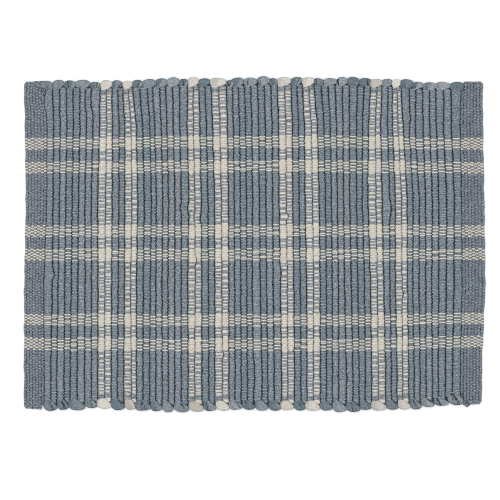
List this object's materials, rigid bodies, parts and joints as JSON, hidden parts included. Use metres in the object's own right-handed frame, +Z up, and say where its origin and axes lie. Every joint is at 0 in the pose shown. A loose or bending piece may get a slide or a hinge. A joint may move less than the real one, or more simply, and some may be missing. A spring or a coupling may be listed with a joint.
{
  "type": "fabric placemat",
  "caption": "Flat placemat of ribbed woven cotton in blue-grey with cream bands both ways, with soft weft loops along its long sides and fine-woven headings at its short ends.",
  "frame": {"origin": "under the middle of the mat, on the surface that it lies on", "axes": "+X along the mat's length, across its ribs; +Y along its ribs, towards the picture's top; +Z up from the surface"},
  "size_m": [0.4618, 0.3355, 0.0048],
  "materials": {
    "blue_grey_cotton": "matt woven cotton",
    "cream_cotton": "matt woven cotton"
  },
  "bodies": {
    "root": {"woven_mat": "blue_grey_cotton"}
  },
  "joints": []
}
